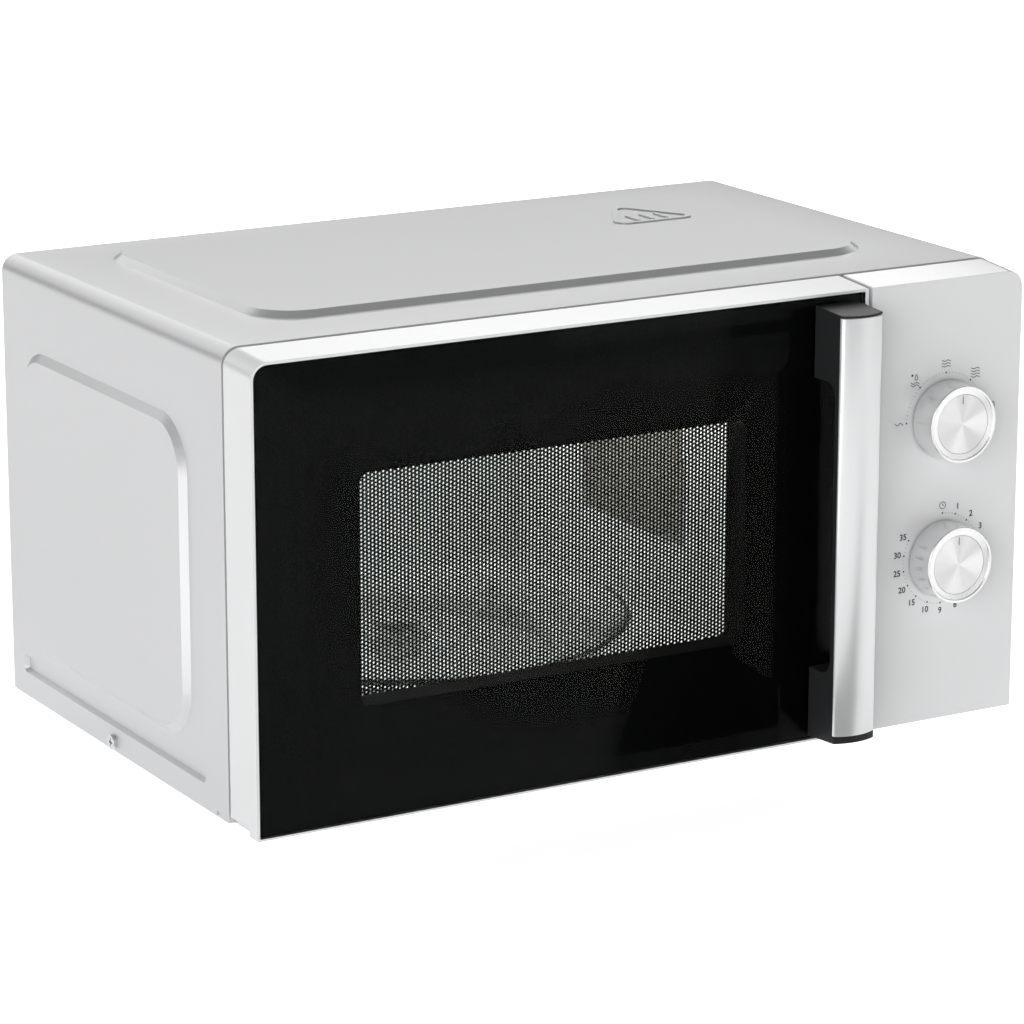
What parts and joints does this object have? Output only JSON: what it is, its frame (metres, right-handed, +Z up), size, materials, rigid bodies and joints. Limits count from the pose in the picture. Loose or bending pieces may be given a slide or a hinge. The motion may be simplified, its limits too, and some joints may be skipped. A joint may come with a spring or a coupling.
{
  "type": "microwave oven",
  "caption": "Countertop microwave oven with a side-hinged glass door, pull handle, perforated window screen, rotary controls and a glass turntable in a box cavity.",
  "frame": {"origin": "on the floor under the middle of the oven's box", "axes": "+X to the right of a person facing the door, +Y away from them into the oven, +Z up"},
  "size_m": [0.458, 0.3375, 0.2568],
  "materials": {
    "white_steel": "semi-gloss white powder coat with a fine orange peel",
    "cavity_enamel": "pale grey enamel",
    "galvanised": "zinc-plated sheet",
    "white_plastic": "white moulding, satin gloss",
    "black_glass": "toughened glass, black printed behind, clear window",
    "screen_black": "black painted perforated sheet",
    "grey_plastic": "dark grey moulding",
    "clear_film": "clear plastic film",
    "black_plastic": "black moulding, fine texture",
    "handle_silver": "silver satin facing with bright edges",
    "steel_hardware": "zinc-plated fasteners and brackets",
    "spring_steel": "bright spring wire",
    "knob_silver": "silver-coated moulding, satin with bright chamfers",
    "spun_aluminium": "spun aluminium disc",
    "nylon_white": "natural nylon",
    "clear_glass": "tempered glass",
    "switch_black": "black thermoset",
    "switch_button": "red button",
    "mica": "mica sheet",
    "laminated_iron": "stacked laminations, varnished",
    "copper_winding": "enamelled winding",
    "aluminium_can": "drawn can",
    "circuit_board": "phenolic board",
    "foot_rubber": "dark soft plastic",
    "timer_plastic": "off-white moulding",
    "bell_steel": "plated gong"
  },
  "bodies": {
    "housing": {"outer_casing": "white_steel", "base_plate": "galvanised", "feet": "foot_rubber", "oven_cavity": "cavity_enamel", "rear_panel": "galvanised", "rear_screws": "steel_hardware", "casing_screws": "steel_hardware", "front_frame": "cavity_enamel", "lower_hinge": "steel_hardware", "upper_hinge": "steel_hardware", "control_panel": "white_plastic", "timer_unit": "timer_plastic", "timer_bell": "bell_steel", "turntable_motor": "galvanised", "latch_board": "timer_plastic", "primary_switch": "switch_black", "secondary_switch": "switch_black", "monitor_switch": "switch_black", "waveguide": "galvanised", "waveguide_cover": "mica", "magnetron": "aluminium_can", "hv_transformer": "laminated_iron", "transformer_winding": "copper_winding", "hv_capacitor": "aluminium_can", "capacitor_clamp": "galvanised", "hv_diode": "switch_black", "fan_shroud": "timer_plastic", "fan_motor": "laminated_iron", "lamp_socket": "timer_plastic", "oven_lamp": "clear_glass", "thermal_cutout": "switch_black", "filter_board": "circuit_board", "cord_gland": "black_plastic"},
    "door": {"door_frame": "white_plastic", "window_sleeve": "black_plastic", "door_glass": "black_glass", "door_screen": "screen_black", "choke_cover": "grey_plastic", "inner_film": "clear_film", "handle_grip": "black_plastic", "handle_facing": "handle_silver", "handle_screws": "steel_hardware", "latch_spring": "spring_steel"},
    "latch": {"latch_key": "nylon_white"},
    "power_control": {"power_knob": "knob_silver", "power_knob_disc": "spun_aluminium", "power_shaft": "steel_hardware"},
    "timer_control": {"timer_knob": "knob_silver", "timer_knob_disc": "spun_aluminium", "timer_shaft": "steel_hardware"},
    "turntable": {"glass_turntable": "clear_glass", "turntable_coupler": "nylon_white"},
    "roller_carrier": {"roller_ring": "nylon_white"},
    "roller_1": {"roller_1": "nylon_white"},
    "roller_2": {"roller_2": "nylon_white"},
    "roller_3": {"roller_3": "nylon_white"},
    "fan": {"fan_blade": "nylon_white"},
    "primary_button": {"primary_switch_button": "switch_button"},
    "secondary_button": {"secondary_switch_button": "switch_button"},
    "monitor_button": {"monitor_switch_button": "switch_button"}
  },
  "joints": [
    {"name": "door_swing", "type": "hinge", "parent": "housing", "child": "door", "pos_m": [-0.218, -0.12575, 0.133], "axis": [0, 0, -1], "range_deg": [0, 100]},
    {"name": "latch_slide", "type": "slide", "parent": "door", "child": "latch", "axis": [0, 0, 1], "range_m": [-0.003, 0], "stiffness_N_per_m": 600, "deforming": ["latch_spring"]},
    {"name": "power_turn", "type": "hinge", "parent": "housing", "child": "power_control", "pos_m": [0.1775, -0.14125, 0.1765], "axis": [0, 1, 0], "range_deg": [-90, 90]},
    {"name": "timer_turn", "type": "hinge", "parent": "housing", "child": "timer_control", "pos_m": [0.1775, -0.14125, 0.101], "axis": [0, 1, 0], "range_deg": [0, 300]},
    {"name": "turntable_spin", "type": "hinge", "parent": "housing", "child": "turntable", "pos_m": [-0.055, 0.02645, 0.037], "axis": [0, 0, 1], "continuous": true},
    {"name": "roller_carrier_spin", "type": "hinge", "parent": "housing", "child": "roller_carrier", "pos_m": [-0.055, 0.02645, 0.0438], "axis": [0, 0, 1], "continuous": true},
    {"name": "roller_1_spin", "type": "hinge", "parent": "roller_carrier", "child": "roller_1", "pos_m": [0.02623, 0.07335, 0.0438], "axis": [0.866, 0.5, 0], "continuous": true},
    {"name": "roller_2_spin", "type": "hinge", "parent": "roller_carrier", "child": "roller_2", "pos_m": [-0.13623, 0.07335, 0.0438], "axis": [-0.866, 0.5, 0], "continuous": true},
    {"name": "roller_3_spin", "type": "hinge", "parent": "roller_carrier", "child": "roller_3", "pos_m": [-0.055, -0.06735, 0.0438], "axis": [0, -1, 0], "continuous": true},
    {"name": "fan_spin", "type": "hinge", "parent": "housing", "child": "fan", "pos_m": [0.172, 0.13545, 0.079], "axis": [0, 1, 0], "continuous": true},
    {"name": "primary_button_travel", "type": "slide", "parent": "housing", "child": "primary_button", "axis": [0, 1, 0], "range_m": [0, 0.0015], "stiffness_N_per_m": 300},
    {"name": "secondary_button_travel", "type": "slide", "parent": "housing", "child": "secondary_button", "axis": [0, 1, 0], "range_m": [0, 0.0015], "stiffness_N_per_m": 300},
    {"name": "monitor_button_travel", "type": "slide", "parent": "housing", "child": "monitor_button", "axis": [0, 0, -1], "range_m": [0, 0.0015], "stiffness_N_per_m": 300}
  ],
  "couplings": [
    {"joint": "roller_carrier_spin", "follows": "turntable_spin", "ratio": 0.5},
    {"joint": "roller_1_spin", "follows": "turntable_spin", "ratio": -6.0909},
    {"joint": "roller_2_spin", "follows": "turntable_spin", "ratio": -6.0909},
    {"joint": "roller_3_spin", "follows": "turntable_spin", "ratio": -6.0909}
  ]
}
